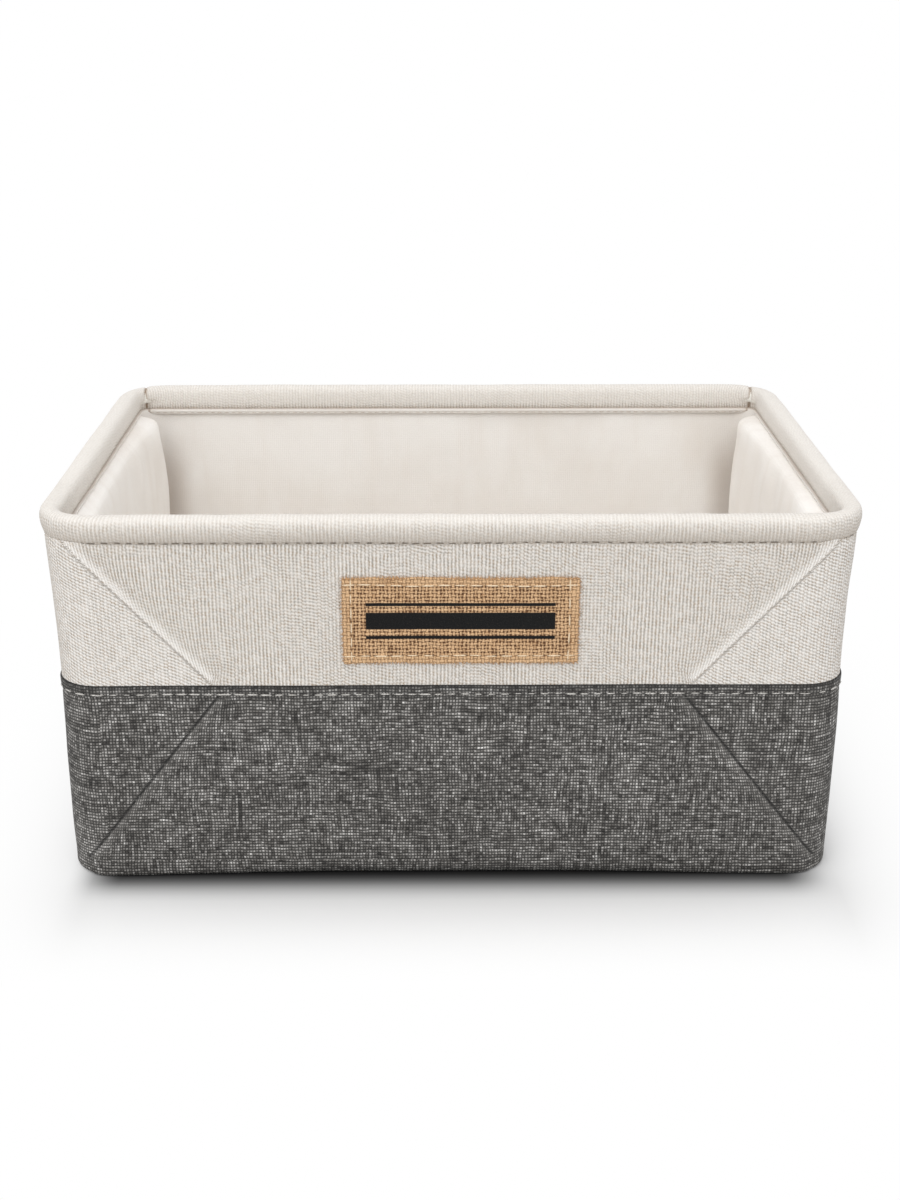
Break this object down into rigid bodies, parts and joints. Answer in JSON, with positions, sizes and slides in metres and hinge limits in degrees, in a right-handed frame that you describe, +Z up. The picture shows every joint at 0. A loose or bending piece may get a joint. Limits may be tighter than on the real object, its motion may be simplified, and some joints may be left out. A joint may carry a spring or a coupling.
{
  "type": "foldable storage box",
  "caption": "Open fabric storage box with a padded wired rim, two-tone walls that crease inward at half height, a sewn patch and a lift-out base insert.",
  "frame": {"origin": "middle of the underside of the base, on the surface the box stands on", "axes": "+X along the long side, +Z up through the open top; the front with the patch faces -Y"},
  "size_m": [0.38, 0.26, 0.184],
  "materials": {
    "cream_canvas": "cream ribbed canvas",
    "grey_linen": "heathered dark grey linen-look weave",
    "lining": "warm white smooth lining cloth",
    "board": "plain pressed paperboard",
    "burlap": "coarse natural jute weave",
    "foam": "soft white foam",
    "spring_steel": "drawn wire"
  },
  "bodies": {
    "root": {"base_cover": "grey_linen", "base_board": "board", "base_lining": "lining", "front_left_corner_lower": "grey_linen", "front_right_corner_lower": "grey_linen", "back_left_corner_lower": "grey_linen", "back_right_corner_lower": "grey_linen"},
    "insert": {"insert_board": "board", "insert_cover": "lining"},
    "front_lower": {"front_lower_cover": "grey_linen", "front_lower_board": "board", "front_lower_lining": "lining"},
    "front_upper": {"front_upper_cover": "cream_canvas", "front_upper_board": "board", "front_upper_lining": "lining", "front_seam_hem": "grey_linen", "label_patch": "burlap"},
    "back_lower": {"back_lower_cover": "grey_linen", "back_lower_board": "board", "back_lower_lining": "lining"},
    "back_upper": {"back_upper_cover": "cream_canvas", "back_upper_board": "board", "back_upper_lining": "lining", "back_seam_hem": "grey_linen"},
    "left_lower": {"left_lower_cover": "grey_linen", "left_lower_board": "board", "left_lower_lining": "lining"},
    "left_upper": {"left_upper_cover": "cream_canvas", "left_upper_board": "board", "left_upper_lining": "lining", "left_seam_hem": "grey_linen"},
    "right_lower": {"right_lower_cover": "grey_linen", "right_lower_board": "board", "right_lower_lining": "lining"},
    "right_upper": {"right_upper_cover": "cream_canvas", "right_upper_board": "board", "right_upper_lining": "lining", "right_seam_hem": "grey_linen"},
    "front_left_gusset_lower": {"front_left_gusset_lower": "grey_linen"},
    "front_left_gusset_upper": {"front_left_gusset_upper": "cream_canvas"},
    "front_right_gusset_lower": {"front_right_gusset_lower": "grey_linen"},
    "front_right_gusset_upper": {"front_right_gusset_upper": "cream_canvas"},
    "back_left_gusset_lower": {"back_left_gusset_lower": "grey_linen"},
    "back_left_gusset_upper": {"back_left_gusset_upper": "cream_canvas"},
    "back_right_gusset_lower": {"back_right_gusset_lower": "grey_linen"},
    "back_right_gusset_upper": {"back_right_gusset_upper": "cream_canvas"},
    "rim": {"rim_cover": "cream_canvas", "rim_padding": "foam", "rim_wire": "spring_steel", "rim_wire_sleeve": "spring_steel", "rim_hem": "cream_canvas", "front_left_corner_upper": "cream_canvas", "front_right_corner_upper": "cream_canvas", "back_left_corner_upper": "cream_canvas", "back_right_corner_upper": "cream_canvas"}
  },
  "joints": [
    {"name": "fold", "type": "hinge", "parent": "root", "child": "front_lower", "pos_m": [0, -0.1222, 0.01], "axis": [-1, 0, 0], "range_deg": [0, 78], "deforming": ["front_left_corner_lower", "front_left_corner_upper", "front_left_gusset_lower", "front_left_gusset_upper", "front_right_corner_lower", "front_right_corner_upper", "front_right_gusset_lower", "front_right_gusset_upper", "back_left_corner_lower", "back_left_corner_upper", "back_left_gusset_lower", "back_left_gusset_upper", "back_right_corner_lower", "back_right_corner_upper", "back_right_gusset_lower", "back_right_gusset_upper"]},
    {"name": "front_crease", "type": "hinge", "parent": "front_lower", "child": "front_upper", "pos_m": [0, -0.1252, 0.09425], "axis": [1, 0, 0], "range_deg": [0, 156]},
    {"name": "rim_hinge", "type": "hinge", "parent": "front_upper", "child": "rim", "pos_m": [0, -0.1222, 0.1785], "axis": [-1, 0, 0], "range_deg": [0, 78]},
    {"name": "back_fold", "type": "hinge", "parent": "root", "child": "back_lower", "pos_m": [0, 0.1222, 0.01], "axis": [1, 0, 0], "range_deg": [0, 78]},
    {"name": "back_crease", "type": "hinge", "parent": "back_lower", "child": "back_upper", "pos_m": [0, 0.1252, 0.09425], "axis": [-1, 0, 0], "range_deg": [0, 156]},
    {"name": "left_fold", "type": "hinge", "parent": "root", "child": "left_lower", "pos_m": [-0.1822, 0, 0.02225], "axis": [0, 1, 0], "range_deg": [0, 85.8]},
    {"name": "left_crease", "type": "hinge", "parent": "left_lower", "child": "left_upper", "pos_m": [-0.1852, 0, 0.09425], "axis": [0, -1, 0], "range_deg": [0, 171.6]},
    {"name": "right_fold", "type": "hinge", "parent": "root", "child": "right_lower", "pos_m": [0.1822, 0, 0.02225], "axis": [0, -1, 0], "range_deg": [0, 85.8]},
    {"name": "right_crease", "type": "hinge", "parent": "right_lower", "child": "right_upper", "pos_m": [0.1852, 0, 0.09425], "axis": [0, 1, 0], "range_deg": [0, 171.6]},
    {"name": "front_left_gusset_lower_crease", "type": "hinge", "parent": "front_lower", "child": "front_left_gusset_lower", "pos_m": [-0.11, -0.1252, 0.09425], "axis": [0.6391, 0, 0.7692], "range_deg": [0, 167.7]},
    {"name": "front_left_gusset_upper_crease", "type": "hinge", "parent": "front_upper", "child": "front_left_gusset_upper", "pos_m": [-0.11, -0.1252, 0.09425], "axis": [-0.655, 0, 0.7556], "range_deg": [0, 167.7]},
    {"name": "front_right_gusset_lower_crease", "type": "hinge", "parent": "front_lower", "child": "front_right_gusset_lower", "pos_m": [0.11, -0.1252, 0.09425], "axis": [0.6391, 0, -0.7692], "range_deg": [0, 167.7]},
    {"name": "front_right_gusset_upper_crease", "type": "hinge", "parent": "front_upper", "child": "front_right_gusset_upper", "pos_m": [0.11, -0.1252, 0.09425], "axis": [-0.655, 0, -0.7556], "range_deg": [0, 167.7]},
    {"name": "back_left_gusset_lower_crease", "type": "hinge", "parent": "back_lower", "child": "back_left_gusset_lower", "pos_m": [-0.11, 0.1252, 0.09425], "axis": [-0.6391, 0, -0.7692], "range_deg": [0, 167.7]},
    {"name": "back_left_gusset_upper_crease", "type": "hinge", "parent": "back_upper", "child": "back_left_gusset_upper", "pos_m": [-0.11, 0.1252, 0.09425], "axis": [0.655, 0, -0.7556], "range_deg": [0, 167.7]},
    {"name": "back_right_gusset_lower_crease", "type": "hinge", "parent": "back_lower", "child": "back_right_gusset_lower", "pos_m": [0.11, 0.1252, 0.09425], "axis": [-0.6391, 0, 0.7692], "range_deg": [0, 167.7]},
    {"name": "back_right_gusset_upper_crease", "type": "hinge", "parent": "back_upper", "child": "back_right_gusset_upper", "pos_m": [0.11, 0.1252, 0.09425], "axis": [0.655, 0, 0.7556], "range_deg": [0, 167.7]},
    {"name": "insert_lift", "type": "slide", "parent": "root", "child": "insert", "axis": [0, 0, 1], "range_m": [0, 0.22]}
  ],
  "couplings": [
    {"joint": "front_crease", "follows": "fold", "ratio": 2},
    {"joint": "rim_hinge", "follows": "fold", "ratio": 1},
    {"joint": "back_fold", "follows": "fold", "ratio": 1},
    {"joint": "back_crease", "follows": "fold", "ratio": 2},
    {"joint": "left_fold", "follows": "fold", "ratio": 1.1},
    {"joint": "left_crease", "follows": "fold", "ratio": 2.2},
    {"joint": "right_fold", "follows": "fold", "ratio": 1.1},
    {"joint": "right_crease", "follows": "fold", "ratio": 2.2},
    {"joint": "front_left_gusset_lower_crease", "follows": "fold", "ratio": 2.15},
    {"joint": "front_left_gusset_upper_crease", "follows": "fold", "ratio": 2.15},
    {"joint": "front_right_gusset_lower_crease", "follows": "fold", "ratio": 2.15},
    {"joint": "front_right_gusset_upper_crease", "follows": "fold", "ratio": 2.15},
    {"joint": "back_left_gusset_lower_crease", "follows": "fold", "ratio": 2.15},
    {"joint": "back_left_gusset_upper_crease", "follows": "fold", "ratio": 2.15},
    {"joint": "back_right_gusset_lower_crease", "follows": "fold", "ratio": 2.15},
    {"joint": "back_right_gusset_upper_crease", "follows": "fold", "ratio": 2.15}
  ]
}
